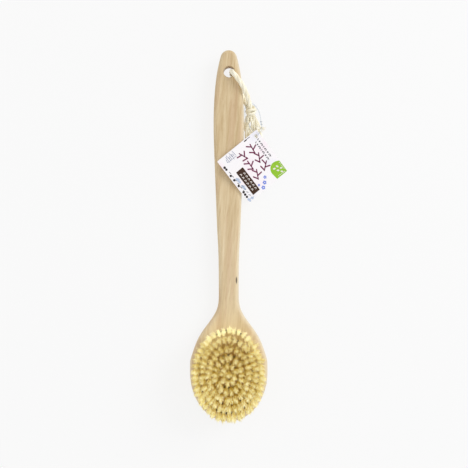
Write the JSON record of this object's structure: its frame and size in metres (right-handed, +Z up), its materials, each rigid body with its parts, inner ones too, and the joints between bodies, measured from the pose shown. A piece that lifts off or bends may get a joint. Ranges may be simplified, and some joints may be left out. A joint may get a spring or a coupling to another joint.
{
  "type": "body dry brush",
  "caption": "Long-handled dry body brush: wooden oval head with rings of natural bristle tufts, a hanging hole with a knotted cord loop, and a card tag on a clear tie.",
  "frame": {"origin": "on the surface that the brush lies on, under the middle of the wooden body's length and on its line of symmetry", "axes": "+X to the brush's right, +Y along the handle to the hanging hole, +Z up, the way the bristles point"},
  "size_m": [0.0952, 0.36, 0.0375],
  "materials": {
    "wood": "fine sanded, unvarnished",
    "bristle": "natural boar or plant bristle, pale straw",
    "anchor_wire": "flat drawn wire",
    "cord": "twisted cotton, cream",
    "clear_plastic": "clear, moulded",
    "card": "smooth coated card, printed with plain shapes"
  },
  "bodies": {
    "brush": {"wooden_body": "wood", "tufts_centre": "bristle", "tufts_ring_1": "bristle", "tufts_ring_2": "bristle", "tufts_ring_3": "bristle", "tufts_ring_4": "bristle", "tufts_ring_5": "bristle", "anchors_centre": "anchor_wire", "anchors_ring_1": "anchor_wire", "anchors_ring_2": "anchor_wire", "anchors_ring_3": "anchor_wire", "anchors_ring_4": "anchor_wire", "anchors_ring_5": "anchor_wire"},
    "hanging_cord": {"cord_loop": "cord", "cord_knot": "cord", "cord_tail_long": "cord", "cord_tail_short": "cord", "tag_tie": "clear_plastic"},
    "tag": {"tag_card": "card"}
  },
  "joints": [
    {"name": "cord_swing", "type": "hinge", "parent": "brush", "child": "hanging_cord", "pos_m": [0.0004, 0.1585, 0.012], "axis": [0, 0, 1], "range_deg": [0, 260]},
    {"name": "tag_swing", "type": "hinge", "parent": "hanging_cord", "child": "tag", "pos_m": [0.02621, 0.09678, 0.01217], "axis": [0.2689, 0, 0.9632], "range_deg": [-25, 15]}
  ]
}
